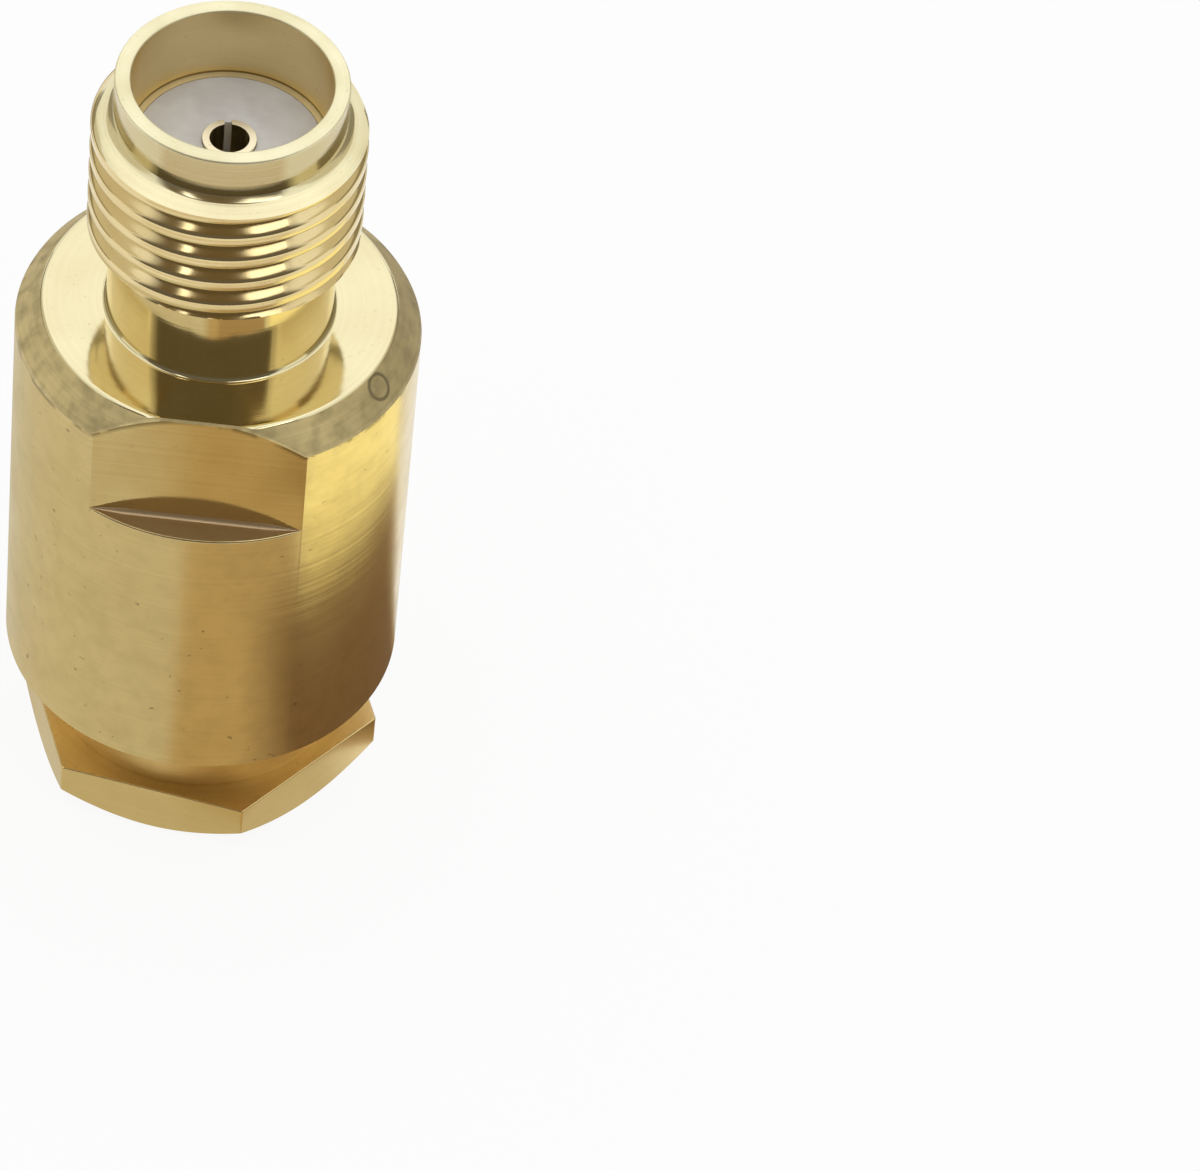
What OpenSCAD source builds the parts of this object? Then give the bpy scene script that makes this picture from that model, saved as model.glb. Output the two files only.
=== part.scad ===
// Coaxial cable jack with a clamp nut, standing on the nut's end face.
// Sizes are in millimetres. The origin is on the axis at the floor, +Z towards the jack.

/* [Body] */
// Diameter of the round body
body_d = 9.5; // [9.2:0.1:12]
// Length of the round body from its rear rim to its front face
body_len = 11.2; // [10.8:0.1:15]
// Width of the bevel round the front face, across the axis
front_bevel_w = 0.62; // [0.2:0.05:1]
// Depth of the same bevel, along the axis
front_bevel_h = 0.7; // [0.2:0.05:1]
// Distance across the two wrench flats
flats_af = 8.1; // [7.4:0.1:9]
// Length of the wrench flats from the front face
flats_len = 3.2; // [1.5:0.1:5]
// Bevel on the outer edge of the rear rim
rim_bevel = 0.12; // [0.05:0.01:0.2]
// Widest diameter of the countersunk rear mouth
mouth_d = 8.8; // [8.4:0.1:9]
// Depth of the countersink in the rear mouth
mouth_depth = 0.4; // [0.2:0.05:0.8]
// Diameter of the plain chamber in front of the rear thread
chamber_d = 7.3; // [7.1:0.05:7.4]
// Length of the rear thread past the nut's barrel
tap_run = 0.3; // [0.2:0.05:0.5]

/* [Jack] */
// Length of the jack in front of the body
jack_len = 7; // [6:0.1:9]
// Outside diameter of the jack's thread
thread_d = 6.35; // [6:0.05:7]
// Bevel at the rear end of the thread, along the axis
thread_bevel = 0.2; // [0.1:0.05:0.8]
// Height of the shallow cone that leads onto the thread from the collar
thread_lead = 0.14; // [0.05:0.01:0.5]
// Diameter of the plain collar in front of the thread
collar_d = 5.35; // [5.1:0.05:5.8]
// Length of the plain collar
collar_len = 1.14; // [0.5:0.01:1.5]
// Bevelled foot where the collar meets that cone
collar_foot = 0.1; // [0.03:0.01:0.15]
// Diameter of the neck behind the thread
neck_d = 5.3; // [5:0.05:5.8]
// Length of the neck
neck_len = 2.1; // [1:0.1:3]
// Bore of the jack's mouth
jack_bore_d = 4.6; // [4.4:0.05:4.8]
// Depth of that bore, down to the face of the insulator
jack_bore_depth = 1.9; // [1:0.1:2.5]
// Bevel on the edges of the jack's lip
lip_bevel = 0.09; // [0.03:0.01:0.15]

/* [Insulators] */
// Diameter of the front insulator
dielectric_d = 4.25; // [3.6:0.05:4.3]
// Diameter of the rear bead and of the front insulator's flange
bead_d = 4.7; // [4.4:0.05:5]
// Thickness of the front insulator's flange
dielectric_flange = 0.6; // [0.3:0.1:1]
// Thickness of the rear bead
bead_len = 1; // [0.8:0.1:1.4]

/* [Contact] */
// Diameter of the contact's front sleeve
contact_d = 1.24; // [1.2:0.01:1.4]
// Bore of the socket
socket_d = 0.92; // [0.8:0.01:1]
// Depth of the socket
socket_depth = 3; // [2:0.1:5]
// Length that the contact stands in front of the insulator
contact_proud = 0.1; // [0:0.05:0.3]
// Width of the two slots that make the socket springy
slot_w = 0.17; // [0.08:0.01:0.22]
// Turn of the slots about the axis, away from the wrench flats, in degrees
slot_turn = 10; // [-90:1:90]
// Length of those slots
slot_len = 2.4; // [1:0.1:4]
// Diameter of the contact's flange
contact_flange_d = 2; // [1.8:0.05:2.6]
// Thickness of the contact's flange
contact_flange = 0.5; // [0.3:0.05:0.6]
// Outside diameter of the solder cup
cup_d = 1.6; // [1.4:0.05:1.7]
// Bore of the solder cup
cup_bore_d = 1; // [0.8:0.05:1.2]
// Length of the solder cup behind the flange
cup_len = 2; // [1.5:0.1:2.5]
// Depth of the solder cup's bore
cup_bore_depth = 1.7; // [1:0.1:2.2]
// Diameter of the side hole where the solder is seen
solder_hole_d = 0.5; // [0.3:0.05:0.7]

/* [Clamp nut] */
// Distance across the flats of the hex
hex_af = 7.9; // [7.4:0.1:9]
// Thickness of the hex
hex_len = 1.5; // [1.2:0.1:3]
// Turn of the hex about the axis, in degrees
hex_turn = -9.9; // [-30:0.1:30]
// Diameter of the flat ring on the hex's end face, where the corner bevel starts
hex_face_d = 7.5; // [7:0.1:7.8]
// Height of the corner bevel at the hex's corners
hex_bevel_h = 0.7; // [0.2:0.05:1]
// Outside diameter of the clamp thread
clamp_thread_d = 8; // [7.8:0.05:8.2]
// Length of the nut's barrel above the hex
barrel_len = 4.4; // [3.8:0.1:5]
// Diameter of the plain relief between hex and thread
relief_d = 7.2; // [6.8:0.1:7.6]
// Length of that relief
relief_len = 0.9; // [0.5:0.1:1.2]
// Bevel at the start of the barrel's thread
barrel_bevel = 0.35; // [0.2:0.05:0.5]
// Cable hole through the nut
cable_d = 5.4; // [5:0.1:5.8]
// Widest diameter of the countersink at the cable hole
cable_sink_d = 6; // [5.9:0.1:6.6]
// Depth of that countersink
cable_sink_depth = 0.35; // [0.2:0.05:0.6]
// Gap between hex and body, with the nut part way home
nut_gap = 1.9; // [0.5:0.1:2.5]

/* [Clamp set] */
// Thickness of the slip washer
washer_len = 0.4; // [0.2:0.1:0.8]
// Thickness of the rubber gasket
gasket_len = 1.6; // [1.2:0.1:2.4]
// Thickness of the braid clamp's flange
clamp_flange = 0.9; // [0.6:0.1:1.2]
// Length of the braid clamp's tapered nose
nose_len = 0.9; // [0.5:0.1:1.1]
// Diameter of the nose where it meets the flange
nose_base_d = 6.4; // [6:0.1:6.8]
// Diameter of the nose at its tip
nose_tip_d = 5.2; // [4.9:0.1:5.6]
// Hole through the braid clamp, for the braided core
braid_d = 3.7; // [3:0.1:4]
// Height of the ridge that seats in the gasket
ridge_h = 0.4; // [0.2:0.05:0.6]
// Flat land on each side of the ridge
ridge_land = 0.15; // [0.12:0.01:0.2]

/* [Clearances] */
// Radial room of the clamp thread in the body
thread_room = 0.05; // [0.03:0.01:0.1]
// Radial room of the loose rings in the chamber
ring_room = 0.15; // [0.1:0.05:0.25]
// Radial room of the parts that are pushed in and stay
push_room = 0.01; // [0.005:0.005:0.02]
// Room left between seats when the nut is fully home
home_room = 0.1; // [0.05:0.05:0.2]

/* [Hidden] */
$fn = 96;
// Margin by which a cut runs past the face it opens
past = 1;
gold = [0.86, 0.69, 0.33];
white = [0.93, 0.93, 0.91];
dark_rubber = [0.12, 0.12, 0.12];

// Heights above the floor, from the nut's end face up to the jack's tip
hex_top_z = hex_len;
barrel_top_z = hex_top_z + barrel_len;
washer_top_z = barrel_top_z + washer_len;
gasket_top_z = washer_top_z + gasket_len;
flange_top_z = gasket_top_z + clamp_flange;
rim_z = hex_top_z + nut_gap;
tap_end_z = rim_z + barrel_len + tap_run;
shoulder_z = flange_top_z + nut_gap;
seat_z = shoulder_z + nose_len + home_room;
bead_top_z = seat_z + bead_len;
step_z = bead_top_z + dielectric_flange;
face_z = rim_z + body_len;
tip_z = face_z + jack_len;
thread_start_z = face_z + neck_len;
thread_end_z = tip_z - collar_len;
insulator_z = tip_z - jack_bore_depth;
contact_tip_z = insulator_z + contact_proud;
contact_flange_z = bead_top_z - contact_flange;
cup_z = contact_flange_z - cup_len;

// Bores that other pieces fit into
clamp_bore_r = clamp_thread_d / 2 + thread_room;
chamber_r = chamber_d / 2;
ring_r = chamber_r - ring_room;
bead_bore_r = bead_d / 2 + push_room;
dielectric_bore_r = dielectric_d / 2 + push_room;
contact_hole_r = contact_d / 2 + push_room;
cup_hole_r = cup_d / 2 + push_room;
flange_recess_r = contact_flange_d / 2 + push_room;

// Ridge of the braid clamp, centred on the gasket's face
ridge_mid_r = (ring_r + cable_d / 2) / 2;
ridge_half_w = (ring_r - cable_d / 2) / 2 - ridge_land;
ridge_room = home_room / 2;

// Distance across the hex's corners
hex_corner_d = hex_af / cos(30);

// Turns a half section, given as [radius, height] points, into a round solid
module turned(points) {
    rotate_extrude() polygon(points);
}

// A flat ring
module ring(inner_r, outer_r, low_z, high_z) {
    turned([[inner_r, low_z], [outer_r, low_z], [outer_r, high_z], [inner_r, high_z]]);
}

// Body: one turned shell with the jack in front and the clamp's bore behind
module connector_body() {
    color(gold) difference() {
        turned(concat(body_outside(), jack_outside(), body_bores()));
        for (side = [0, 180]) rotate(side) wrench_flat();
    }
}

// Outside of the body from the rear mouth to the front face
function body_outside() = [
    [mouth_d / 2, rim_z],
    [body_d / 2 - rim_bevel, rim_z],
    [body_d / 2, rim_z + rim_bevel],
    [body_d / 2, face_z - front_bevel_h],
    [body_d / 2 - front_bevel_w, face_z]
];

// Outside of the jack from the neck to its lip
function jack_outside() = [
    [neck_d / 2, face_z],
    [neck_d / 2, thread_start_z],
    [thread_d / 2, thread_start_z + thread_bevel],
    [thread_d / 2, thread_end_z - thread_lead],
    [collar_d / 2 + collar_foot, thread_end_z],
    [collar_d / 2, thread_end_z + collar_foot],
    [collar_d / 2, tip_z - lip_bevel],
    [collar_d / 2 - lip_bevel, tip_z]
];

// Inside of the body from the jack's mouth back to the rear mouth
function body_bores() = [
    [jack_bore_d / 2 + lip_bevel, tip_z],
    [jack_bore_d / 2, tip_z - lip_bevel],
    [jack_bore_d / 2, insulator_z],
    [dielectric_bore_r, insulator_z],
    [dielectric_bore_r, step_z],
    [bead_bore_r, step_z],
    [bead_bore_r, seat_z],
    [nose_tip_d / 2 + home_room, seat_z],
    [nose_base_d / 2 + home_room, shoulder_z],
    [chamber_r, shoulder_z],
    [chamber_r, tap_end_z + clamp_bore_r - chamber_r],
    [clamp_bore_r, tap_end_z],
    [clamp_bore_r, rim_z + mouth_depth]
];

// Block that cuts one flat into the front of the body
module wrench_flat() {
    translate([-body_d / 2, flats_af / 2, face_z - flats_len])
        cube([body_d, body_d, flats_len + past]);
}

// Front insulator: a rod with a flange that stops at the step in the body
module front_dielectric() {
    color(white) turned([
        [contact_hole_r, bead_top_z],
        [bead_d / 2, bead_top_z],
        [bead_d / 2, step_z],
        [dielectric_d / 2, step_z],
        [dielectric_d / 2, insulator_z],
        [contact_hole_r, insulator_z]
    ]);
}

// Contact: slotted socket in front, flange in the middle, solder cup behind
module center_contact() {
    color(gold) difference() {
        turned([
            [0, cup_z],
            [cup_d / 2, cup_z],
            [cup_d / 2, contact_flange_z],
            [contact_flange_d / 2, contact_flange_z],
            [contact_flange_d / 2, bead_top_z],
            [contact_d / 2, bead_top_z],
            [contact_d / 2, contact_tip_z],
            [0, contact_tip_z]
        ]);
        translate([0, 0, contact_tip_z - socket_depth])
            cylinder(d = socket_d, h = socket_depth + past);
        rotate(slot_turn) socket_cut();
        translate([0, 0, cup_z - past]) cylinder(d = cup_bore_d, h = cup_bore_depth + past);
        translate([0, 0, cup_z + cup_bore_depth - solder_hole_d]) rotate([0, 90, 0])
            cylinder(d = solder_hole_d, h = cup_d);
    }
}

// One cut across the socket, which makes two slots
module socket_cut() {
    translate([-slot_w / 2, -contact_d, contact_tip_z - slot_len])
        cube([slot_w, 2 * contact_d, slot_len + past]);
}

// Rear bead: holds the contact's flange against the front insulator
module rear_insulator() {
    color(white) turned([
        [cup_hole_r, seat_z],
        [bead_d / 2, seat_z],
        [bead_d / 2, bead_top_z],
        [flange_recess_r, bead_top_z],
        [flange_recess_r, contact_flange_z],
        [cup_hole_r, contact_flange_z]
    ]);
}

// Ridge or groove under the braid clamp's flange, from root to tip
function ridge(extra) = [
    [ridge_mid_r + ridge_half_w + extra, gasket_top_z],
    [ridge_mid_r, gasket_top_z - ridge_h - extra],
    [ridge_mid_r - ridge_half_w - extra, gasket_top_z]
];

// Braid clamp: flange with a ridge behind and a tapered nose in front
module braid_clamp() {
    color(gold) turned(concat(
        [
            [braid_d / 2, gasket_top_z],
            [braid_d / 2, flange_top_z + nose_len],
            [nose_tip_d / 2, flange_top_z + nose_len],
            [nose_base_d / 2, flange_top_z],
            [ring_r, flange_top_z],
            [ring_r, gasket_top_z]
        ],
        ridge(0)
    ));
}

// Gasket: rubber ring with a groove for the braid clamp's ridge
module gasket() {
    color(dark_rubber) turned(concat(
        [
            [cable_d / 2, gasket_top_z],
            [cable_d / 2, washer_top_z],
            [ring_r, washer_top_z],
            [ring_r, gasket_top_z]
        ],
        ridge(ridge_room)
    ));
}

// Slip washer: keeps the turning nut off the rubber
module slip_washer() {
    color(gold) ring(cable_d / 2, ring_r, barrel_top_z, washer_top_z);
}

// Clamp nut: hex with bevelled corners, plain relief and threaded barrel
module clamp_nut() {
    color(gold) difference() {
        union() {
            intersection() {
                rotate(hex_turn) cylinder(d = hex_corner_d, h = hex_len, $fn = 6);
                hex_bevel();
            }
            barrel();
        }
        cable_hole();
    }
}

// Cone that bevels the hex's corners at its end face
module hex_bevel() {
    slope = hex_bevel_h / (hex_corner_d - hex_face_d) * 2;
    turned([
        [0, 0],
        [hex_face_d / 2, 0],
        [hex_corner_d / 2 + past, hex_bevel_h + past * slope],
        [hex_corner_d / 2 + past, hex_len + 2 * past],
        [0, hex_len + 2 * past]
    ]);
}

// Barrel that screws into the body
module barrel() {
    turned([
        [0, hex_len / 2],
        [relief_d / 2, hex_len / 2],
        [relief_d / 2, hex_top_z + relief_len],
        [clamp_thread_d / 2, hex_top_z + relief_len + (clamp_thread_d - relief_d) / 2],
        [clamp_thread_d / 2, barrel_top_z - barrel_bevel],
        [clamp_thread_d / 2 - barrel_bevel, barrel_top_z],
        [0, barrel_top_z]
    ]);
}

// Hole for the cable, countersunk at the hex's end
module cable_hole() {
    translate([0, 0, -past]) cylinder(d = cable_d, h = barrel_top_z + 2 * past);
    cylinder(d1 = cable_sink_d, d2 = cable_d, h = cable_sink_depth);
}

connector_body();
front_dielectric();
center_contact();
rear_insulator();
braid_clamp();
gasket();
slip_washer();
clamp_nut();
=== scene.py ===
import math

import bmesh
import bpy
import numpy as np
from mathutils import Matrix, Vector


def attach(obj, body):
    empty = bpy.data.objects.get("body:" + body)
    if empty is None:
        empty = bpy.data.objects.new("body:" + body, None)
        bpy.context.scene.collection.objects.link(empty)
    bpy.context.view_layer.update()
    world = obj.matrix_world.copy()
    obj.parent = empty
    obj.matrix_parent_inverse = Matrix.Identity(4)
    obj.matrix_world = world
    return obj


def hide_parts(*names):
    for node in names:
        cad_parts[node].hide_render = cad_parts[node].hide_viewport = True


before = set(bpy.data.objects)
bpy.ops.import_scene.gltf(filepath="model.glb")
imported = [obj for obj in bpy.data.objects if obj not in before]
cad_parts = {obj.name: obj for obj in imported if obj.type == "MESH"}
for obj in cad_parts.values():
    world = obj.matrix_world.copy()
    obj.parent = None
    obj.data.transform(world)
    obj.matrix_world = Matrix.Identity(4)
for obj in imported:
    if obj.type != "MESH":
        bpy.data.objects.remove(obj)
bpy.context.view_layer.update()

# Body in millimetres, with heights from the floor up
MM = 0.001
BODY_R = 4.75
RIM_Z = 3.4
RIM_BEVEL = 0.12
MOUTH_R = 4.4
MOUTH_DEPTH = 0.4
FACE_Z = 14.6
FRONT_BEVEL_W = 0.62
FRONT_BEVEL_H = 0.7
FACE_R = BODY_R - FRONT_BEVEL_W
FLAT_HALF = 4.05
LEDGE_Z = 11.4

# Jack: neck, thread between its end cones, collar and lip
NECK_R = 2.65
THREAD_LOW_Z = 16.7
THREAD_END_H = 0.4
THREAD_R = 3.175
INCH = 25.4
THREADS_PER_INCH = 36
THREAD_PITCH = INCH / THREADS_PER_INCH
LEAD_TOP_Z = 20.46
LEAD_H = 0.14
COLLAR_FOOT = 0.1
COLLAR_R = 2.675
TIP_Z = 21.6
LIP = 0.05

# Bores of the body, from the jack's mouth back to the clamp thread, with a thin dark band of painted
# shade at the foot of the jack's bore
JACK_BORE_R = 2.3
INSULATOR_Z = 19.7
FOOT_SHADE_LINE = 0.06
DIELECTRIC_BORE_R = 2.135
STEP_Z = 13.3
BEAD_BORE_R = 2.36
SEAT_Z = 11.7
NOSE_TIP_R = 2.7
NOSE_BASE_R = 3.3
CHAMBER_TOP_Z = 10.7
CHAMBER_R = 3.65
TAP_END_Z = 8.1
TAP_R = 4.05

# Clamp nut: hex, relief, threaded barrel and cable hole
HEX_SIDES = 6
HEX_HALF = 3.95
HEX_TURN = math.radians(-9.9)
HEX_FACE_R = 3.75
HEX_BEVEL_H = 0.7
HEX_TOP_Z = 1.5
RELIEF_R = 3.6
RELIEF_TOP_Z = 2.4
BARREL_R = 4.0
BARREL_TOP_Z = 5.9
BARREL_BEVEL = 0.35
CLAMP_PITCH = 0.75
CABLE_R = 2.7
CABLE_SINK_R = 3.0
CABLE_SINK_DEPTH = 0.35

# Rounded edges; on the ledge they take up at most one of its parts
EDGE = 0.05
FILLET = 0.12
NECK_FILLET = 0.12
HEX_EDGE = 0.04
LEDGE_PARTS = 3
ROUND_STEPS = 4
CONTACT_EDGE = 0.02
RING_EDGE = 0.03
GASKET_EDGE = 0.04
EDGE_SEGMENTS = 2

# Screw threads: depth, crest and corner softness as shares of the pitch, and the place of the crests
THREAD_DEPTH = 0.4
FLANK_ANGLE = math.radians(37)
CREST_HALF = 0.2
CORNER_SOFT = 0.12
LOOPS_PER_PITCH = 24
START_LOOPS = 6
END_LOOPS = 18
JACK_PHASE = 0.75
CLAMP_PHASE = 0.3

# Skin of the turned pieces: columns round the axis, seam at the back
COLUMNS = 192
SEAM = math.pi / 2
EDGE_ANGLE = math.radians(0.35)
LEAST_SINE = 0.05
SHARP = math.radians(30)
WELD = 1e-7

# Noise of the finishes: scale per millimetre, detail and, for lines, roughness
CLOUD = (0.7, 3.0)
TOOL_LINES = (9.0, 5.0, 0.7)
RIPPLES = (3.0, 1.0, 0.7)
PIT_DETAIL = 2.0
NICK_SHADE_NOISE = (1.3, 4.0)
DOTS = (4.0, 2.0)
PTFE_CLOUD = (1.6, 3.0)
PTFE_LINES = (7.0, 4.0, 0.5)
RUBBER_CLOUD = (1.5, 2.0)
RUBBER_GRAIN = (12.0, 4.0)

# Shares of the plating's tone, and of its wear and painted shade
CLOUD_SHARE = 0.6
LINE_SHARE = 0.4
STAIN_SHADE = 0.4
PIT_ROUGHNESS = 0.1

# Depth of surface marks and of the light inside the insulators, in millimetres
TOOL_DEPTH = 0.0012
FLAT_DEPTH = 0.0008
FINE_DEPTH = 0.0006
THREAD_MARK_DEPTH = 0.0004
PTFE_DEPTH = 0.004
RUBBER_DEPTH = 0.01
PTFE_GLOW = 0.2
PTFE_GLOW_R = 0.4

# Ring stain on the bevel and painted shade that darkens its right side, nicks along its edge whose
# darkness is painted shade in a burr's groove, and dark dots on the barrel
STAIN_AT = (3.93, -1.96, 14.31)
STAIN_R = 0.3
STAIN_CORE_R = STAIN_R / 2
STAIN_LINE = 0.09
STAIN_LINE_CORE = STAIN_LINE / 4
STAIN_INSIDE = 0.15
# Painted shade that darkens the bevel's right side: its share, and the span across x where it grows
RIGHT_SHADE = 0.45
RIGHT_SHADE_X = (2.4, 4.3)
# Nicks under the bevel's edge; their darkness is painted shade in a burr's groove
NICK_SHADE_DEPTH = 0.2
NICK_SHADE_CORE = NICK_SHADE_DEPTH / 3
NICK_SHADE_SHARE = 0.9
NICK_SHADE_RARITY = (0.46, 0.54)
DOT_SHARE = 0.7
DOT_RARITY = (0.71, 0.75)

# Camera fitted to the photograph, in millimetres, degrees and its 1200 pixels of width
EYE_DISTANCE = 164.855
EYE_TARGET_Z = 12.95
EYE_ELEVATION = 45.463
EYE_AZIMUTH = 4.0
CAMERA_ROLL = 3.482
CAMERA_TILT = 1.736
CAMERA_PAN = 3.234
FOCAL_PX = 7015.06
PHOTO_W = 1200
SENSOR = 36.0
NEAREST = 1.0

# Floor, which goes with the clamp set because the part stands on the nut, and studio in millimetres
STANDS_ON = "clamp_stack"
FLOOR_HALF = 2000
FLOOR_GAP = 0.005
FLOOR_GLOW = 0.9
WORLD_LIGHT = 0.8
LAMP_DISTANCE = 300
CEILING = 315
CARD_STEPS = 12
CARD_FADE = 0.8
CARD_LIFT = 0.02
FAR = 400
NEAR = 60
FRONT = (-73, 63)
NEAR_FLOOR_R = 20.3
FAR_FLOOR = (26, 70)


def rgb(red, green, blue):
    return (red, green, blue, 1.0)


# Light and dark tone of each finish; where noted, a tone is lifted or lowered from the plating's as
# painted light and shade
GOLD = rgb(0.82, 0.67, 0.35)
OLD_GOLD = rgb(0.74, 0.58, 0.28)
PALE_GOLD = rgb(0.81, 0.745, 0.475)
WORN_GOLD = rgb(0.76, 0.67, 0.40)
PLAIN_TONES = (GOLD, OLD_GOLD)
FLAT_TONES = (GOLD, rgb(0.66, 0.50, 0.22))
# The ledge's tones are lifted above the plating's: painted light on a mirror that sees dark
LEDGE_LIT_TONES = (rgb(0.94, 0.75, 0.49), rgb(0.82, 0.63, 0.40))
BEVEL_TONES = (rgb(0.78, 0.63, 0.30), rgb(0.52, 0.41, 0.185))
FACE_TONES = (PALE_GOLD, WORN_GOLD)
THREAD_TONES = (rgb(0.84, 0.70, 0.38), OLD_GOLD)
# The lead ring's light tone is lifted pale: painted highlight
LEAD_HIGHLIGHT_TONES = (rgb(0.86, 0.80, 0.52), WORN_GOLD)
# The collar's tones are lowered below the plating's: painted shade
COLLAR_SHADED_TONES = (rgb(0.66, 0.565, 0.32), rgb(0.59, 0.49, 0.265))
# The lip's light tone is lifted near white: painted highlight
LIP_HIGHLIGHT_TONES = (rgb(0.97, 0.92, 0.65), PALE_GOLD)
# The bore's light tone is lifted above the plating's: painted light inside the mouth
BORE_LIT_TONES = (rgb(0.90, 0.74, 0.41), GOLD)
# Dark band at the foot of the jack's bore: painted shade in the corner
FOOT_SHADE_TONES = (rgb(0.34, 0.25, 0.12), rgb(0.26, 0.19, 0.08))
# The step ring is lifted above the plating's tone: painted light against the shade of its corner
STEP_LIT_TONES = (rgb(0.88, 0.76, 0.45), GOLD)
HEX_TONES = (rgb(0.79, 0.62, 0.30), rgb(0.71, 0.53, 0.23))
HEX_TOP_TONES = (rgb(0.95, 0.75, 0.38), rgb(0.85, 0.64, 0.30))
RELIEF_TONES = (rgb(0.92, 0.70, 0.33), rgb(0.80, 0.58, 0.25))
BARREL_THREAD_TONES = (rgb(0.82, 0.62, 0.28), rgb(0.70, 0.50, 0.20))
CONTACT_TONES = (rgb(0.92, 0.82, 0.58), rgb(0.84, 0.72, 0.47))
PTFE_TONES = (rgb(0.77, 0.76, 0.74), rgb(0.66, 0.645, 0.62))
RUBBER_TONES = (rgb(0.05, 0.05, 0.05), rgb(0.03, 0.03, 0.03))

# Colours of the floor and of the cards that reflections show
WHITE = rgb(1.0, 1.0, 1.0)
BLACK = rgb(0.0, 0.0, 0.0)
FLOOR_WHITE = rgb(0.92, 0.92, 0.92)
PAPER = rgb(0.97, 0.97, 0.97)
SHADE = rgb(0.115, 0.10, 0.085)
BROWN = rgb(0.125, 0.08, 0.03)
WALL = rgb(0.66, 0.61, 0.49)
DUSK = rgb(0.28, 0.25, 0.19)
DIM = rgb(0.64, 0.60, 0.48)
WARM = rgb(0.54, 0.41, 0.225)
DEEP_WARM = rgb(0.41, 0.29, 0.14)
TAN = rgb(0.66, 0.53, 0.38)
YELLOW = rgb(1.2, 1.12, 0.62)
UMBER = rgb(0.16, 0.085, 0.035)


# Materials

class Graph:
    """Small helper that adds nodes to a material and links them."""

    def __init__(self, name):
        self.material = bpy.data.materials.new(name)
        self.material.use_nodes = True
        self.tree = self.material.node_tree
        self.shader = self.tree.nodes["Principled BSDF"]

    def add(self, kind, inputs, **settings):
        node = self.tree.nodes.new("ShaderNode" + kind)
        for key, value in settings.items():
            setattr(node, key, value)
        for key, value in inputs.items():
            self.put(node.inputs[key], value)
        return node.outputs

    def put(self, socket, value):
        if isinstance(value, bpy.types.NodeSocket):
            self.tree.links.new(value, socket)
        else:
            socket.default_value = value

    def math(self, operation, first, second):
        return self.add("Math", {0: first, 1: second}, operation=operation)[0]

    def place(self):
        """Object coordinates in millimetres."""
        here = self.add("TexCoord", {})["Object"]
        return self.add("VectorMath", {0: here, "Scale": 1 / MM}, operation="SCALE")[0]

    def along(self, place, direction):
        """One number to run marks along: height, radius, or distance across a flat."""
        if direction == "radius":
            level = self.add("VectorMath", {0: place, 1: (1, 1, 0)}, operation="MULTIPLY")[0]
            return self.add("VectorMath", {0: level}, operation="LENGTH")["Value"]
        return self.add("SeparateXYZ", {0: place})[direction]

    def noise(self, place, scale, detail):
        return self.add("TexNoise", {"Vector": place, "Scale": scale, "Detail": detail})[0]

    def lines(self, run, scale, detail, roughness):
        inputs = {"W": run, "Scale": scale, "Detail": detail, "Roughness": roughness}
        return self.add("TexNoise", inputs, noise_dimensions="1D")[0]

    def spread(self, value, low, high, from_low=0.3, from_high=0.7):
        inputs = {"Value": value, "From Min": from_low, "From Max": from_high,
                  "To Min": low, "To Max": high}
        return self.add("MapRange", inputs)[0]

    def blend(self, share, first, second):
        inputs = {"Factor": share, "A": first, "B": second}
        node = self.tree.nodes.new("ShaderNodeMix")
        node.data_type = "RGBA"
        for key, value in inputs.items():
            socket = [s for s in node.inputs if s.name == key and s.enabled][0]
            self.put(socket, value)
        return [s for s in node.outputs if s.enabled][0]

    def surface(self, colour, rough, height, depth):
        """Gives the shader its colour, its roughness and a bump of a depth in millimetres."""
        self.put(self.shader.inputs["Base Color"], colour)
        self.put(self.shader.inputs["Roughness"], rough)
        bump = self.add("Bump", {"Strength": 1.0, "Distance": depth * MM, "Height": height})[0]
        self.put(self.shader.inputs["Normal"], bump)


def edge_nicks_and_shade(graph, place):
    """Dark nicks just under the edge of the front bevel, whose darkness is painted shade in the groove
    of a burr.
    """
    radius = graph.along(place, "radius")
    slope = FRONT_BEVEL_H / FRONT_BEVEL_W
    cone = graph.math("MULTIPLY", graph.math("SUBTRACT", radius, FACE_R), slope)
    gap = graph.math("SUBTRACT", graph.math("SUBTRACT", FACE_Z, graph.along(place, "Z")), cone)
    near = graph.spread(gap, 1.0, 0.0, NICK_SHADE_CORE, NICK_SHADE_DEPTH)
    patchy = graph.spread(graph.noise(place, *NICK_SHADE_NOISE), 0.0, NICK_SHADE_SHARE, *NICK_SHADE_RARITY)
    return graph.math("MULTIPLY", near, patchy)


def barrel_wear_and_shade(graph, place):
    """Nicks with painted shade under the bevel, and a few dark dots over the barrel."""
    dots = graph.spread(graph.noise(place, *DOTS), 0.0, DOT_SHARE, *DOT_RARITY)
    return graph.math("MAXIMUM", edge_nicks_and_shade(graph, place), dots)


def bevel_ring_and_shade(graph, place):
    """Ring that a drop left on the bevel, and painted shade that darkens it towards the right."""
    away = graph.add("VectorMath", {0: place, 1: STAIN_AT}, operation="DISTANCE")["Value"]
    band = graph.math("ABSOLUTE", graph.math("SUBTRACT", away, STAIN_R), 0.0)
    ring = graph.spread(band, 1.0, 0.0, STAIN_LINE_CORE, STAIN_LINE)
    inside = graph.spread(away, STAIN_INSIDE, 0.0, STAIN_CORE_R, STAIN_R)
    # Painted shade: the bevel grows darker towards its right side
    right_shade = graph.spread(graph.along(place, "X"), 0.0, RIGHT_SHADE, *RIGHT_SHADE_X)
    return graph.math("MAXIMUM", ring, graph.math("ADD", inside, right_shade))


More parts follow.
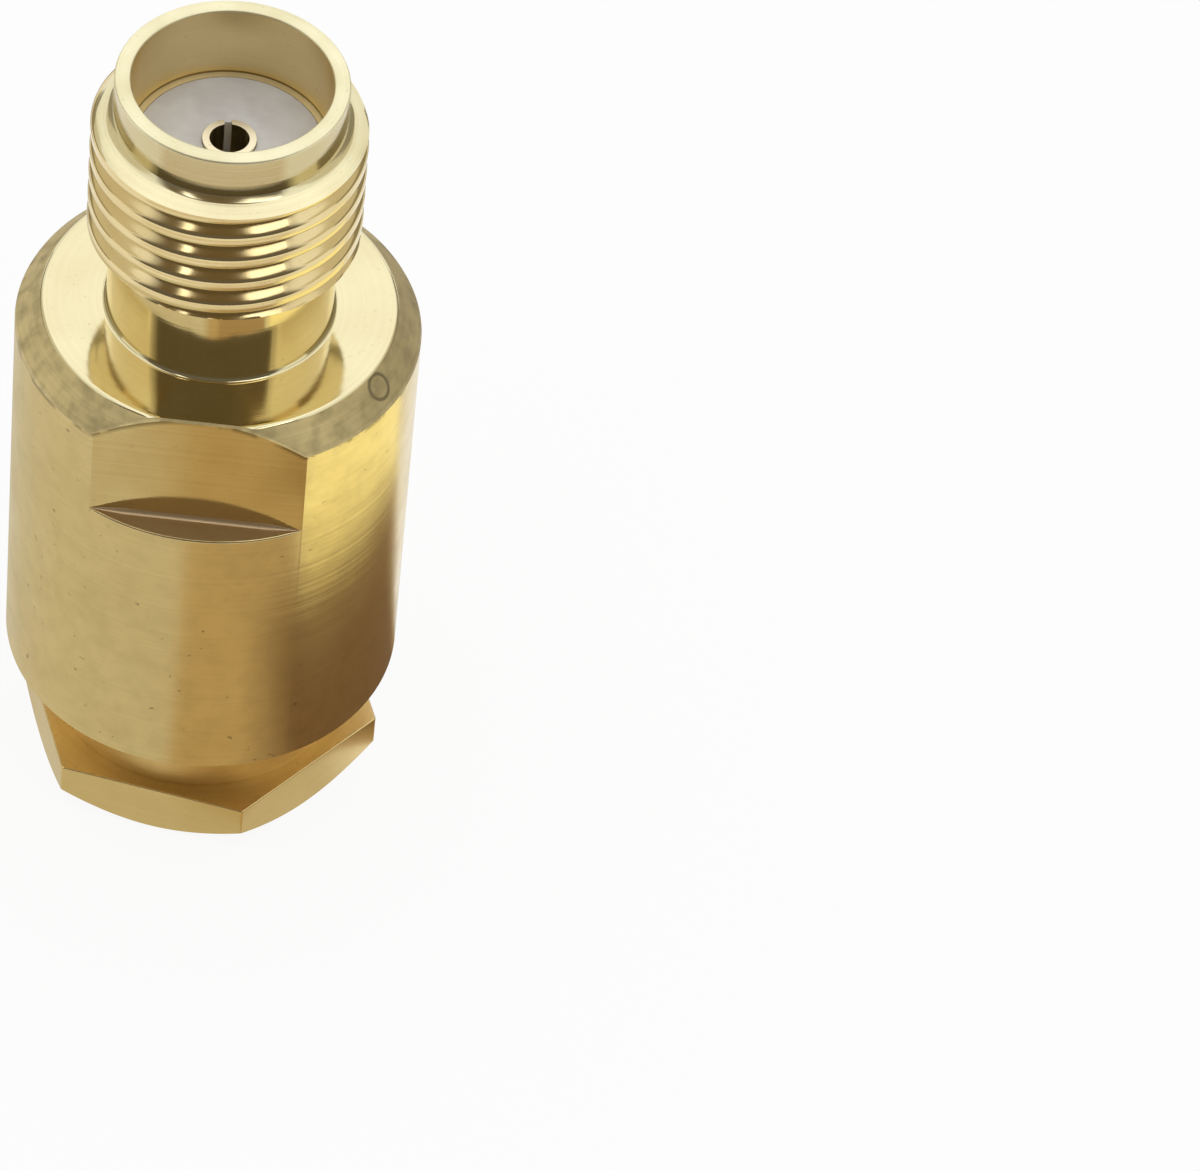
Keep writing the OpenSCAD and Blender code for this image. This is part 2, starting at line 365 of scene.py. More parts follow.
def metal(name, tones, rough, marks="Z", depth=TOOL_DEPTH, ripple=0.0, specks=0.25, grain=9.0,
          rarity=(0.66, 0.78), frost=0.0, blemish_and_shade=None):
    """Gold plating: uneven tone, fine tool marks, shallow ripples, small dark pits, and the stains, wear
    and painted shade that a given mark adds.
    """
    graph = Graph(name)
    place = graph.place()
    run = graph.along(place, marks)
    cloud = graph.noise(place, *CLOUD)
    lines = graph.lines(run, *TOOL_LINES)
    pits = graph.spread(graph.noise(place, grain, PIT_DETAIL), 0.0, specks, *rarity)
    tone = graph.math("ADD", graph.spread(cloud, 0.0, CLOUD_SHARE), graph.spread(lines, 0.0, LINE_SHARE))
    stain_and_shade = rgb(*[STAIN_SHADE * channel for channel in tones[1][:3]])
    colour = graph.blend(pits, graph.blend(tone, *tones), stain_and_shade)
    # The given mark darkens with real stains and wear, and with painted shade for the nicks' groove and
    # the bevel's right side
    if blemish_and_shade:
        colour = graph.blend(blemish_and_shade(graph, place), colour, stain_and_shade)
    worn = graph.math("ADD", graph.spread(cloud, *rough), graph.math("MULTIPLY", pits, PIT_ROUGHNESS))
    waves = graph.math("MULTIPLY", graph.lines(run, *RIPPLES), ripple)
    graph.surface(colour, worn, graph.math("ADD", lines, waves), depth)
    graph.shader.inputs["Metallic"].default_value = 1.0 - frost
    return graph.material


def plastic(name, tones, rough):
    """White insulator: soft mottle, faint machining, a little light inside."""
    graph = Graph(name)
    place = graph.place()
    cloud = graph.noise(place, *PTFE_CLOUD)
    lines = graph.lines(graph.along(place, "radius"), *PTFE_LINES)
    colour = graph.blend(graph.spread(cloud, 0.0, 1.0), *tones)
    graph.surface(colour, graph.spread(cloud, *rough), lines, PTFE_DEPTH)
    graph.shader.inputs["Subsurface Weight"].default_value = PTFE_GLOW
    graph.shader.inputs["Subsurface Radius"].default_value = [PTFE_GLOW_R * MM] * 3
    return graph.material


def rubber(name, tones, rough):
    """Dark gasket rubber with a fine grain."""
    graph = Graph(name)
    place = graph.place()
    grain = graph.noise(place, *RUBBER_GRAIN)
    cloud = graph.noise(place, *RUBBER_CLOUD)
    colour = graph.blend(graph.spread(cloud, 0.0, 1.0), *tones)
    graph.surface(colour, graph.spread(grain, *rough), grain, RUBBER_DEPTH)
    return graph.material


# Skins of turned pieces

class Skin:
    """A closed skin of loops round the axis, listed along the half section."""

    def __init__(self, edges):
        even = np.linspace(SEAM, SEAM + 2 * math.pi, COLUMNS + 1)
        marks = SEAM + np.mod(np.asarray(edges) - SEAM, 2 * math.pi)
        self.angles = np.sort(np.concatenate([even, marks - EDGE_ANGLE, marks + EDGE_ANGLE]))
        self.mids = (self.angles[:-1] + self.angles[1:]) / 2
        self.loops = []
        self.finishes = []

    def to(self, radius, height, finish):
        """Adds a loop; finish is the material of the band that leads to it."""
        radius = np.broadcast_to(radius, self.angles.shape)
        height = np.broadcast_to(height, self.angles.shape)
        points = (radius * np.cos(self.angles), radius * np.sin(self.angles), height)
        self.loops.append(np.stack(points, axis=1) * MM)
        self.finishes.append(np.broadcast_to(finish, self.mids.shape))

    def faces(self):
        """Quads between each loop and the next, and from the last back to the first."""
        wide = len(self.angles)
        step = np.arange(wide - 1)
        quads = []
        for index in range(len(self.loops)):
            low = (index - 1) % len(self.loops) * wide + step
            high = index * wide + step
            quads.append(np.stack([low, low + 1, high + 1, high], axis=1))
        return np.concatenate(quads)

    def build(self, name, materials):
        mesh = bpy.data.meshes.new(name)
        mesh.from_pydata(np.concatenate(self.loops).tolist(), [], self.faces().tolist())
        finishes = np.concatenate(self.finishes).astype(np.int32)
        mesh.polygons.foreach_set("material_index", finishes)
        for material in materials:
            mesh.materials.append(material)
        weld(mesh)
        even_normals(mesh)
        piece = bpy.data.objects.new(name, mesh)
        bpy.context.scene.collection.objects.link(piece)
        return piece


def weld(mesh):
    """Joins coincident points, drops faces with no area and turns all faces outwards."""
    shape = bmesh.new()
    shape.from_mesh(mesh)
    bmesh.ops.remove_doubles(shape, verts=shape.verts, dist=WELD)
    bmesh.ops.dissolve_degenerate(shape, edges=shape.edges, dist=WELD)
    bmesh.ops.recalc_face_normals(shape, faces=shape.faces)
    for face in shape.faces:
        face.smooth = True
    shape.to_mesh(mesh)
    shape.free()
    mesh.set_sharp_from_angle(angle=SHARP)


def column(items, key, width, kind):
    """One property of all items of a mesh as an array."""
    values = np.empty(len(items) * width, dtype=kind)
    items.foreach_get(key, values)
    return values.reshape(-1, width) if width > 1 else values


def even_normals(mesh):
    """Normals averaged by area over soft edges, so that wide faces stay flat beside them."""
    normals = column(mesh.polygons, "normal", 3, np.float32)
    areas = column(mesh.polygons, "area", 1, np.float32)
    corners = column(mesh.polygons, "loop_total", 1, np.int32)
    corner_point = column(mesh.loops, "vertex_index", 1, np.int32)
    order = np.argsort(corner_point, kind="stable")
    face = np.repeat(np.arange(len(areas)), corners)[order]
    point = corner_point[order]
    facing = normals[face]
    own = facing * areas[face, None] / areas.max()
    total = own.copy()
    for shift in range(1, np.bincount(point).max()):
        soft = np.sum(facing[shift:] * facing[:-shift], axis=1) > math.cos(SHARP)
        pair = np.nonzero((point[shift:] == point[:-shift]) & soft)[0]
        total[pair] += own[pair + shift]
        total[pair + shift] += own[pair]
    even = np.empty_like(total)
    even[order] = total / np.linalg.norm(total, axis=1, keepdims=True)
    mesh.normals_split_custom_set(even.tolist())


class Thread:
    """A right-hand thread: the radius at any height and angle."""

    def __init__(self, crest_r, pitch, phase):
        self.crest_r = crest_r
        self.pitch = pitch
        self.phase = phase
        self.depth = THREAD_DEPTH * pitch

    def radius(self, angles, height):
        turn = np.mod(height / self.pitch - (angles - SEAM) / (2 * math.pi) - self.phase, 1.0)
        flank = THREAD_DEPTH * math.tan(FLANK_ANGLE)
        rise = (CREST_HALF + flank - np.abs(turn - 0.5)) / flank
        over = np.hypot(1 - rise, CORNER_SOFT)
        under = np.hypot(rise, CORNER_SOFT)
        share = np.clip(0.5 * (1 + under - over), 0.0, 1.0)
        return self.crest_r - self.depth * (1 - share)

    def loops(self, angles, low, high):
        """Loops that follow the helix, held between two heights; each is (radius, height)."""
        step = self.pitch / LOOPS_PER_PITCH
        rise = self.pitch * (angles - SEAM) / (2 * math.pi)
        count = int(math.ceil((high - low) / step)) + LOOPS_PER_PITCH
        for index in range(count + 1):
            start = low - self.pitch + index * step
            height = np.clip(start + rise, low, high)
            yield self.radius(angles, height), height


def thread_end(skin, thread, radii, heights, count, finish):
    """Loops of a thread's end, where a cone between two radii and heights cuts its crests."""
    for share in np.linspace(0, 1, count + 1)[1:]:
        height = heights[0] + share * (heights[1] - heights[0])
        cone = radii[0] + share * (radii[1] - radii[0])
        skin.to(np.minimum(cone, thread.radius(skin.angles, height)), height, finish)


def round_corner(skin, radius, height, size, angles, finish):
    """Loops along an arc of the section about its centre, between two angles in degrees."""
    for degrees in np.linspace(angles[0], angles[1], ROUND_STEPS + 1):
        angle = math.radians(degrees)
        skin.to(radius + size * math.cos(angle), height + size * math.sin(angle), finish)


def bevel_height(radius):
    """Height of the front bevel's cone at a radius, up to the front face."""
    return FACE_Z - FRONT_BEVEL_H * np.maximum(radius - FACE_R, 0.0) / FRONT_BEVEL_W


def body_piece(finish, materials):
    """Round body with wrench flats, neck, threaded jack and all its bores."""
    half = math.asin(FLAT_HALF / BODY_R)
    skin = Skin([half, math.pi - half, -half, half - math.pi])
    flat_r = FLAT_HALF / np.maximum(np.abs(np.sin(skin.angles)), LEAST_SINE)
    side_r = np.minimum(BODY_R, flat_r)
    on_flat = np.abs(np.sin(skin.mids)) > FLAT_HALF / BODY_R
    body_side(skin, side_r, np.where(on_flat, finish["flat"], finish["barrel"]), finish)
    jack_outside(skin, finish)
    body_bores(skin, finish)
    return skin.build("body", materials)


def body_side(skin, side_r, side_finish, finish):
    """From the rear rim up the barrel, over the ledges and flats, to the front face."""
    ledge_part = (BODY_R - side_r) / LEDGE_PARTS
    edge = np.minimum(EDGE, ledge_part)
    fillet = np.minimum(FILLET, ledge_part)
    top_r = np.minimum(side_r - EDGE, FACE_R)
    upper_r = np.maximum(side_r - EDGE, top_r)
    soft_r = np.minimum(top_r + EDGE, upper_r)
    neck_r = NECK_R + NECK_FILLET
    neck_z = FACE_Z + NECK_FILLET
    skin.to(MOUTH_R, RIM_Z, finish["inside"])
    skin.to(BODY_R - RIM_BEVEL, RIM_Z, finish["rim"])
    skin.to(BODY_R, RIM_Z + RIM_BEVEL, finish["rim"])
    round_corner(skin, BODY_R - edge, LEDGE_Z - edge, edge, (0, 90), finish["barrel"])
    round_corner(skin, side_r + fillet, LEDGE_Z + fillet, fillet, (270, 180), finish["ledge"])
    skin.to(side_r, bevel_height(side_r) - EDGE, side_finish)
    skin.to(upper_r, bevel_height(upper_r), finish["bevel"])
    skin.to(soft_r, bevel_height(soft_r), finish["bevel"])
    skin.to(top_r - EDGE, FACE_Z, finish["face"])
    round_corner(skin, neck_r, neck_z, NECK_FILLET, (270, 180), finish["face"])


def jack_outside(skin, finish):
    """Neck, thread with its end cones, and collar up to the lip."""
    thread = Thread(THREAD_R, THREAD_PITCH, JACK_PHASE)
    low = THREAD_LOW_Z + THREAD_END_H
    high = LEAD_TOP_Z - LEAD_H
    skin.to(NECK_R, THREAD_LOW_Z, finish["neck"])
    thread_end(skin, thread, (NECK_R, THREAD_R), (THREAD_LOW_Z, low), END_LOOPS, finish["thread"])
    for radius, height in thread.loops(skin.angles, low, high):
        skin.to(radius, height, finish["thread"])
    lead_radii = (THREAD_R, COLLAR_R + COLLAR_FOOT)
    thread_end(skin, thread, lead_radii, (high, LEAD_TOP_Z), START_LOOPS, finish["lead"])
    skin.to(COLLAR_R, LEAD_TOP_Z + COLLAR_FOOT, finish["lead"])
    skin.to(COLLAR_R, TIP_Z - LIP, finish["collar"])
    round_corner(skin, COLLAR_R - LIP, TIP_Z - LIP, LIP, (0, 90), finish["lip"])
    round_corner(skin, JACK_BORE_R + LIP, TIP_Z - LIP, LIP, (90, 180), finish["lip"])


def body_bores(skin, finish):
    """From the jack's mouth back through the seats and the threaded rear bore."""
    thread = Thread(TAP_R, CLAMP_PITCH, CLAMP_PHASE)
    tapped = list(thread.loops(skin.angles, RIM_Z + MOUTH_DEPTH, TAP_END_Z))
    skin.to(JACK_BORE_R, INSULATOR_Z + FOOT_SHADE_LINE, finish["bore"])
    # Dark band at the foot of the bore: painted shade in the corner above the step
    skin.to(JACK_BORE_R, INSULATOR_Z, finish["foot"])
    skin.to(DIELECTRIC_BORE_R, INSULATOR_Z, finish["step"])
    skin.to(DIELECTRIC_BORE_R, STEP_Z, finish["inside"])
    skin.to(BEAD_BORE_R, STEP_Z, finish["inside"])
    skin.to(BEAD_BORE_R, SEAT_Z, finish["inside"])
    skin.to(NOSE_TIP_R, SEAT_Z, finish["inside"])
    skin.to(NOSE_BASE_R, CHAMBER_TOP_Z, finish["inside"])
    skin.to(CHAMBER_R, CHAMBER_TOP_Z, finish["inside"])
    skin.to(CHAMBER_R, TAP_END_Z + TAP_R - CHAMBER_R, finish["inside"])
    for radius, height in reversed(tapped):
        skin.to(radius, height, finish["inside"])


def nut_piece(finish, materials):
    """Hex with bevelled corners, relief, threaded barrel and cable hole."""
    side = 2 * math.pi / HEX_SIDES
    skin = Skin([HEX_TURN + k * side for k in range(HEX_SIDES)])
    lean = np.mod(skin.angles - HEX_TURN, side) - side / 2
    hex_r = HEX_HALF / np.cos(lean)
    corner_r = HEX_HALF / math.cos(side / 2)
    bevel_z = HEX_BEVEL_H * (hex_r - HEX_FACE_R) / (corner_r - HEX_FACE_R)
    skin.to(CABLE_SINK_R, 0.0, finish["inside"])
    skin.to(HEX_FACE_R, 0.0, finish["end"])
    skin.to(hex_r, bevel_z, finish["end"])
    round_corner(skin, hex_r - HEX_EDGE, HEX_TOP_Z - HEX_EDGE, HEX_EDGE, (0, 90), finish["hex"])
    skin.to(RELIEF_R, HEX_TOP_Z, finish["top"])
    skin.to(RELIEF_R, RELIEF_TOP_Z, finish["relief"])
    nut_thread(skin, finish["thread"])
    skin.to(CABLE_R, BARREL_TOP_Z, finish["end"])
    skin.to(CABLE_R, CABLE_SINK_DEPTH, finish["inside"])
    return skin.build("nut", materials)


def nut_thread(skin, finish):
    """Thread of the nut's barrel between its two end cones."""
    thread = Thread(BARREL_R, CLAMP_PITCH, CLAMP_PHASE)
    low = RELIEF_TOP_Z + BARREL_R - RELIEF_R
    high = BARREL_TOP_Z - BARREL_BEVEL
    thread_end(skin, thread, (RELIEF_R, BARREL_R), (RELIEF_TOP_Z, low), START_LOOPS, finish)
    for radius, height in thread.loops(skin.angles, low, high):
        skin.to(radius, height, finish)
    tip_radii = (BARREL_R, BARREL_R - BARREL_BEVEL)
    thread_end(skin, thread, tip_radii, (high, BARREL_TOP_Z), START_LOOPS, finish)


# Pieces and their finishes

def seat(piece, body, node):
    """Hangs a new piece on its CAD body in place of the node."""
    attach(piece, body)
    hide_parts(node)


def finish_list(named):
    """Index of each finish by name, and the materials in the same order."""
    return {name: index for index, name in enumerate(named)}, list(named.values())


def body_finishes():
    """Finishes of the body; roughness stays clear of 0.27, where the denoiser draws outlines."""
    return {
        "barrel": metal("gold_barrel", PLAIN_TONES, rough=(0.19, 0.25), ripple=2.0, specks=0.2,
                        grain=1.8, rarity=(0.40, 0.85), blemish_and_shade=barrel_wear_and_shade),
        "flat": metal("gold_flat", FLAT_TONES, rough=(0.07, 0.12), depth=FLAT_DEPTH, blemish_and_shade=edge_nicks_and_shade),
        # Ledge lifted above the plating's tone: painted light
        "ledge": metal("gold_ledge_lit", LEDGE_LIT_TONES, rough=(0.32, 0.42), marks="Y"),
        "bevel": metal("gold_bevel", BEVEL_TONES, rough=(0.40, 0.55), marks="radius", specks=0.7,
                       grain=2.4, rarity=(0.42, 0.85), frost=0.5, blemish_and_shade=bevel_ring_and_shade),
        "face": metal("gold_face", FACE_TONES, rough=(0.06, 0.11), marks="radius", depth=FINE_DEPTH),
        "neck": metal("gold_neck", PLAIN_TONES, rough=(0.06, 0.11), depth=FINE_DEPTH),
        "thread": metal("gold_thread", THREAD_TONES, rough=(0.10, 0.18), depth=THREAD_MARK_DEPTH),
        # Lead ring lifted pale: painted highlight
        "lead": metal("gold_lead_highlight", LEAD_HIGHLIGHT_TONES, rough=(0.10, 0.18), marks="radius"),
        # Collar lowered below the plating's tone: painted shade
        "collar": metal("gold_collar_shaded", COLLAR_SHADED_TONES, rough=(0.10, 0.16)),
        # Lip lifted near white: painted highlight
        "lip": metal("gold_lip_highlight", LIP_HIGHLIGHT_TONES, rough=(0.44, 0.54), marks="radius"),
        # Bore wall lifted above the plating's tone: painted light
        "bore": metal("gold_bore_lit", BORE_LIT_TONES, rough=(0.29, 0.36)),
        # Painted shade in the corner at the foot of the jack's bore
        "foot": metal("gold_foot_shade", FOOT_SHADE_TONES, rough=(0.35, 0.45)),
        # Step ring lifted: painted light against its corner's shade
        "step": metal("gold_step_lit", STEP_LIT_TONES, rough=(0.35, 0.45), marks="radius", frost=0.6),
        "rim": metal("gold_rim", PLAIN_TONES, rough=(0.29, 0.36), marks="radius"),
        "inside": metal("gold_inside", PLAIN_TONES, rough=(0.30, 0.42)),
    }


def nut_finishes():
    """Finishes of the clamp nut."""
    return {
        "hex": metal("nut_hex", HEX_TONES, rough=(0.19, 0.25)),
        "end": metal("nut_end", PLAIN_TONES, rough=(0.29, 0.36), marks="radius"),
        "top": metal("nut_top", HEX_TOP_TONES, rough=(0.34, 0.46), marks="radius"),
        "relief": metal("nut_relief", RELIEF_TONES, rough=(0.36, 0.48)),
        "thread": metal("nut_thread", BARREL_THREAD_TONES, rough=(0.29, 0.34), depth=FINE_DEPTH),
        "inside": metal("nut_inside", PLAIN_TONES, rough=(0.30, 0.40)),
    }


def dress(node, material, edge):
    """Gives a CAD node its finish and softens its edges."""
    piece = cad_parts[node]
    piece.data.materials.clear()
    piece.data.materials.append(material)
    bevel = piece.modifiers.new("edges", "BEVEL")
    bevel.width = edge * MM
    bevel.segments = EDGE_SEGMENTS
    bevel.limit_method = "ANGLE"
    bevel.angle_limit = SHARP
    bevel.use_clamp_overlap = True


def dress_nodes():
    """Finishes of the CAD nodes that stay as they are."""
    front = plastic("ptfe_front", PTFE_TONES, rough=(0.35, 0.5))
    rear = plastic("ptfe_rear", PTFE_TONES, rough=(0.35, 0.5))
    contact = metal("gold_contact", CONTACT_TONES, rough=(0.19, 0.25))
    clamp = metal("gold_clamp", PLAIN_TONES, rough=(0.29, 0.36))
    washer = metal("gold_washer", PLAIN_TONES, rough=(0.16, 0.24), marks="radius")
    dress("front_dielectric", front, RING_EDGE)
    dress("rear_insulator", rear, RING_EDGE)
    dress("center_contact", contact, CONTACT_EDGE)
    dress("braid_clamp", clamp, RING_EDGE)
    dress("slip_washer", washer, RING_EDGE)
    dress("gasket", rubber("gasket_rubber", RUBBER_TONES, rough=(0.5, 0.7)), GASKET_EDGE)


# Camera, floor and light

def turn(axis, degrees):
    """Rotation of the fitted camera about its own axis 0, 1 or 2."""
    first, second = [k for k in range(3) if k != axis]
    matrix = np.eye(3)
    cosine = math.cos(math.radians(degrees))
    sine = math.sin(math.radians(degrees))
    matrix[first, first] = cosine
    matrix[second, second] = cosine
    matrix[first, second] = -sine
    matrix[second, first] = sine
    return matrix


def direction(azimuth, elevation):
    """Unit vector from the object; azimuth counts to the right from the camera's side."""
    side = math.radians(EYE_AZIMUTH + azimuth)
    lift = math.radians(elevation)
    level = math.cos(lift)
    return np.array([level * math.sin(side), -level * math.cos(side), math.sin(lift)])


def make_camera():
    """Camera at the place and with the lens that the fit to the photograph gives."""
    lens = bpy.data.cameras.new("camera")
    lens.sensor_width = SENSOR
    lens.sensor_fit = "HORIZONTAL"
    lens.lens = SENSOR * FOCAL_PX / PHOTO_W
    lens.clip_start = NEAREST * MM
    back = direction(0.0, EYE_ELEVATION)
    right = np.cross((0.0, 0.0, 1.0), back)
    right /= np.linalg.norm(right)
    up = np.cross(back, right)
    aim = turn(2, CAMERA_ROLL) @ turn(0, CAMERA_TILT) @ turn(1, CAMERA_PAN)
    rows = aim @ np.stack([right, -up, -back])
    eye = (np.array([0.0, 0.0, EYE_TARGET_Z]) + EYE_DISTANCE * back) * MM
    facing = Matrix(np.stack([rows[0], -rows[1], -rows[2]], axis=1).tolist()).to_4x4()
    camera = bpy.data.objects.new("camera", lens)
    camera.matrix_world = Matrix.Translation(Vector(eye)) @ facing
    bpy.context.scene.collection.objects.link(camera)
    bpy.context.scene.camera = camera


def seen_share(tree):
    """1 for camera, glossy and transmission rays, 0 for the light that falls on the object."""
    path = tree.nodes.new("ShaderNodeLightPath")
    share = path.outputs["Is Camera Ray"]
    for name in ("Is Glossy Ray", "Is Transmission Ray"):
        either = tree.nodes.new("ShaderNodeMath")
        either.operation = "MAXIMUM"
        tree.links.new(share, either.inputs[0])
        tree.links.new(path.outputs[name], either.inputs[1])
        share = either.outputs[0]
    return share


def mix_shaders(tree, share, first, second):
    """Shader that goes from the first to the second as the share goes from 0 to 1."""
    mix = tree.nodes.new("ShaderNodeMixShader")
    tree.links.new(share, mix.inputs[0])
    tree.links.new(first.outputs[0], mix.inputs[1])
    tree.links.new(second.outputs[0], mix.inputs[2])
    return mix


def floor_material():
    """White where it is seen, matte to the light, clear from below."""
    material = bpy.data.materials.new("floor_white")
    material.use_nodes = True
    material.cycles.emission_sampling = "NONE"
    tree = material.node_tree
    tree.nodes.remove(tree.nodes["Principled BSDF"])
    matte = tree.nodes.new("ShaderNodeBsdfDiffuse")
    matte.inputs["Color"].default_value = FLOOR_WHITE
    glow = tree.nodes.new("ShaderNodeEmission")
    share = tree.nodes.new("ShaderNodeMath")
    share.operation = "MULTIPLY"
    share.inputs[1].default_value = FLOOR_GLOW
    tree.links.new(seen_share(tree), share.inputs[0])
    above = mix_shaders(tree, share.outputs[0], matte, glow)
    clear = tree.nodes.new("ShaderNodeBsdfTransparent")
    below = tree.nodes.new("ShaderNodeNewGeometry").outputs["Backfacing"]
    sided = mix_shaders(tree, below, above, clear)
    tree.links.new(sided.outputs[0], tree.nodes["Material Output"].inputs[0])
    return material


def make_floor():
    """White floor under the nut that keeps the object's shadow."""
    half = FLOOR_HALF * MM
    mesh = bpy.data.meshes.new("floor")
    corners = [(-half, -half, 0), (half, -half, 0), (half, half, 0), (-half, half, 0)]
    mesh.from_pydata(corners, [], [(0, 1, 2, 3)])
    mesh.materials.append(floor_material())
    floor = bpy.data.objects.new("floor", mesh)
    floor.location.z = -FLOOR_GAP * MM
    bpy.context.scene.collection.objects.link(floor)
    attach(floor, STANDS_ON)


def make_world():
    """White where it is seen, soft where it lights."""
    world = bpy.data.worlds.new("studio")
    bpy.context.scene.world = world
    world.use_nodes = True
    tree = world.node_tree
    ground = tree.nodes["Background"]
    ground.inputs["Color"].default_value = WHITE
    strength = tree.nodes.new("ShaderNodeMapRange")
    strength.inputs["To Min"].default_value = WORLD_LIGHT
    tree.links.new(seen_share(tree), strength.inputs["Value"])
    tree.links.new(strength.outputs[0], ground.inputs["Strength"])


def area_lamp(name, width, height, radiance):
    """Rectangular lamp with a given brightness of its face."""
    light = bpy.data.lights.new(name, "AREA")
    light.shape = "RECTANGLE"
    light.size = width * MM
    light.size_y = height * MM
    light.energy = radiance * math.pi * light.size * light.size_y
    lamp = bpy.data.objects.new(name, light)
    bpy.context.scene.collection.objects.link(lamp)
    return lamp


def softbox(name, azimuth, elevation, width, height, radiance):
    """Lamp that faces the object from a direction."""
    lamp = area_lamp(name, width, height, radiance)
    way = Vector(direction(azimuth, elevation))
    lamp.location = way * LAMP_DISTANCE * MM + Vector((0, 0, EYE_TARGET_Z * MM))
    lamp.rotation_euler = way.to_track_quat("Z", "Y").to_euler()


def ceiling_panel(name, centre, length, width, angle, radiance):
    """Lamp that faces down; centre and angle count from the camera's right and away from it."""
    lamp = area_lamp(name, length, width, radiance)
    spin = Matrix.Rotation(math.radians(EYE_AZIMUTH), 4, "Z")
    place = Matrix.Translation(Vector((centre[0], centre[1], CEILING)) * MM)
    lamp.matrix_world = spin @ place @ Matrix.Rotation(math.radians(angle), 4, "Z")


def card_material(name):
    """Glow in the tone that the card's points have."""
    graph = Graph(name)
    tone = graph.add("VertexColor", {}, layer_name="tone")["Color"]
    graph.shader.inputs["Base Color"].default_value = BLACK
    graph.put(graph.shader.inputs["Emission Color"], tone)
    graph.shader.inputs["Emission Strength"].default_value = 1.0
    graph.material.cycles.emission_sampling = "NONE"
    return graph.material


def card_mesh(name, rows, colour, rim, fade_rows, soft_columns):
    """Sheet through rows of points, whose tone goes from the rim's at its ends to the card's own."""
    wide = len(rows[0])
    points = [tuple(point * MM) for row in rows for point in row]
    faces = [(r * wide + c, r * wide + c + 1, (r + 1) * wide + c + 1, (r + 1) * wide + c)
             for r in range(len(rows) - 1) for c in range(wide - 1)]
    mesh = bpy.data.meshes.new(name)
    mesh.from_pydata(points, [], faces)
    end_rows = (0, len(rows) - 1) if fade_rows else ()
    tones = mesh.color_attributes.new("tone", "FLOAT_COLOR", "POINT")
    for index, tone in enumerate(tones.data):
        row, place = divmod(index, wide)
        inward = min(place / soft_columns, wide - 1 - place, 1.0)
        share = 0.0 if row in end_rows else inward
        tone.color = [share * inner + (1.0 - share) * outer for inner, outer in zip(colour, rim)]
    return mesh


def card(name, rows, colour, rim, fade_rows, soft_columns=1):
    """Card that only reflections show."""
    mesh = card_mesh(name, rows, colour, rim, fade_rows, soft_columns)
    mesh.materials.append(card_material(name))
    piece = bpy.data.objects.new(name, mesh)
    piece.visible_camera = False
    piece.visible_diffuse = False
    piece.visible_shadow = False
    piece.visible_transmission = False
    bpy.context.scene.collection.objects.link(piece)
    return piece


def dome_card(name, azimuths, elevations, distance, colour, rim):
    """Card curved round the object at a distance, with sides that fade to the rim's colour."""
    centre = np.array([0.0, 0.0, EYE_TARGET_Z])
    across = np.linspace(azimuths[0], azimuths[1], CARD_STEPS + 1)
    upward = np.linspace(elevations[0], elevations[1], CARD_STEPS + 1)
    rows = [[centre + distance * direction(a, e) for a in across] for e in upward]
    card(name, rows, colour, rim, False)


def floor_card(name, level, azimuths, radii, colour, rim, soft_columns=1):
    """Card that lies over the floor as a part of a ring and fades to the rim's colour."""
    across = np.linspace(azimuths[0], azimuths[1], CARD_STEPS + 1)
    outward = [radii[0], radii[0] + CARD_FADE, radii[1] - CARD_FADE, radii[1]]
    lift = np.array([0.0, 0.0, level * CARD_LIFT])
    rows = [[lift + radius * direction(a, 0.0) for a in across] for radius in outward]
    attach(card(name, rows, colour, rim, True, soft_columns), STANDS_ON)


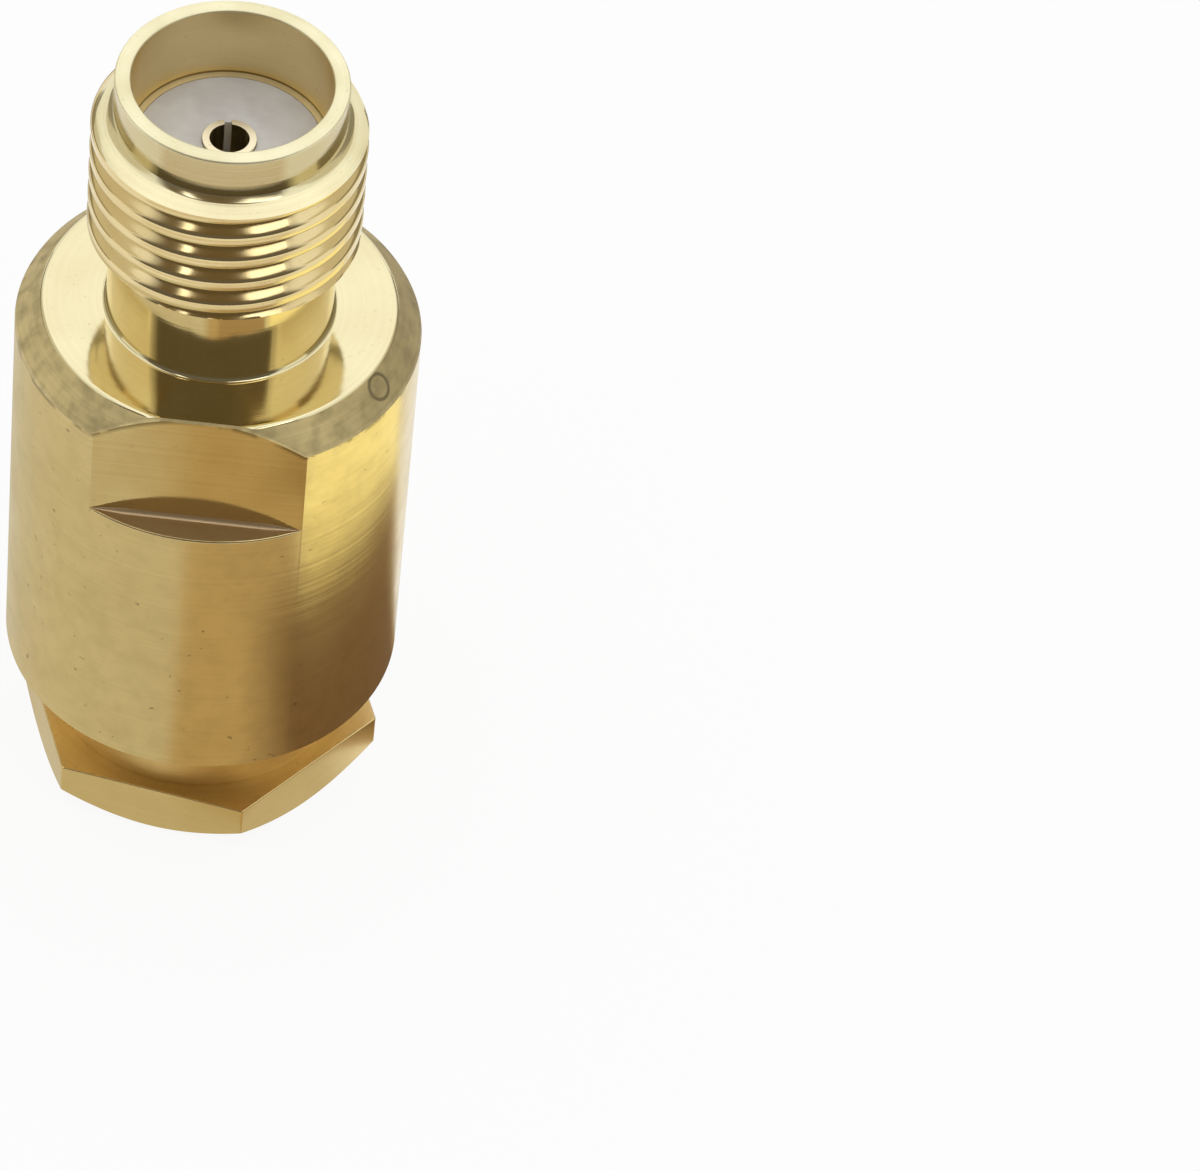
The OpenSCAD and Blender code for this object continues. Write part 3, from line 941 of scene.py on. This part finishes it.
def make_lamps():
    """Weak lamp behind, and the two ceiling panels that the thread's bright spots mirror."""
    softbox("lamp_back", azimuth=180, elevation=70, width=320, height=340, radiance=0.2)
    ceiling_panel("panel_left", centre=(-121, -139), length=100, width=32, angle=49, radiance=2.2)
    ceiling_panel("panel_right", centre=(118, -141), length=100, width=134, angle=130, radiance=1.8)


def make_walls():
    """Dark side that the camera stands on, and walls with a dim foot at left and right."""
    dome_card("shade_front", FRONT, (1, 48), FAR, SHADE, PAPER)
    dome_card("shade_top", FRONT, (48, 82), FAR, BROWN, PAPER)
    dome_card("shade_low", FRONT, (-12, 12), NEAR, SHADE, PAPER)
    dome_card("wall_left", (-140, -74), (14, 41), FAR, WALL, WALL)
    dome_card("dusk_left", (-150, -92), (-8, 14), FAR, DUSK, DUSK)
    dome_card("wall_right", (64, 140), (22, 41), FAR, WALL, WALL)
    dome_card("dusk_right", (85, 150), (-8, 22), FAR, DUSK, DUSK)


def make_floor_cards():
    """Glowing cards over the floor, seen only in reflections, whose tones paint warm reflected light and
    shade for the barrel, the collar and the thread's crests to mirror.
    """
    floor_card("floor_dim", 1, (-175, 75), (3, NEAR_FLOOR_R), DIM, PAPER)
    floor_card("floor_warm", 2, (-14, 62), (5, NEAR_FLOOR_R), WARM, DIM)
    floor_card("floor_brown", 3, (-2, 46), (15.8, NEAR_FLOOR_R), DEEP_WARM, WARM)
    floor_card("floor_front", 1, (-70, 60), (22.7, 25.8), TAN, PAPER)
    floor_card("bounce_right", 4, (44, 118), (11, 22), YELLOW, DIM)
    floor_card("shade_right", 5, (18, 118), (5, 13.5), UMBER, WARM, soft_columns=3)
    floor_card("far_left", 5, (-178, -125), FAR_FLOOR, DUSK, PAPER)
    floor_card("far_right", 5, (125, 178), FAR_FLOOR, DUSK, PAPER)


def make_studio():
    """Floor, soft light and the surroundings that the metal mirrors."""
    make_floor()
    make_world()
    make_lamps()
    make_walls()
    make_floor_cards()


def main():
    make_camera()
    finish, materials = finish_list(body_finishes())
    seat(body_piece(finish, materials), "shell", "connector_body")
    finish, materials = finish_list(nut_finishes())
    seat(nut_piece(finish, materials), "nut", "clamp_nut")
    dress_nodes()
    make_studio()
    bpy.context.scene.view_settings.view_transform = "Standard"


main()
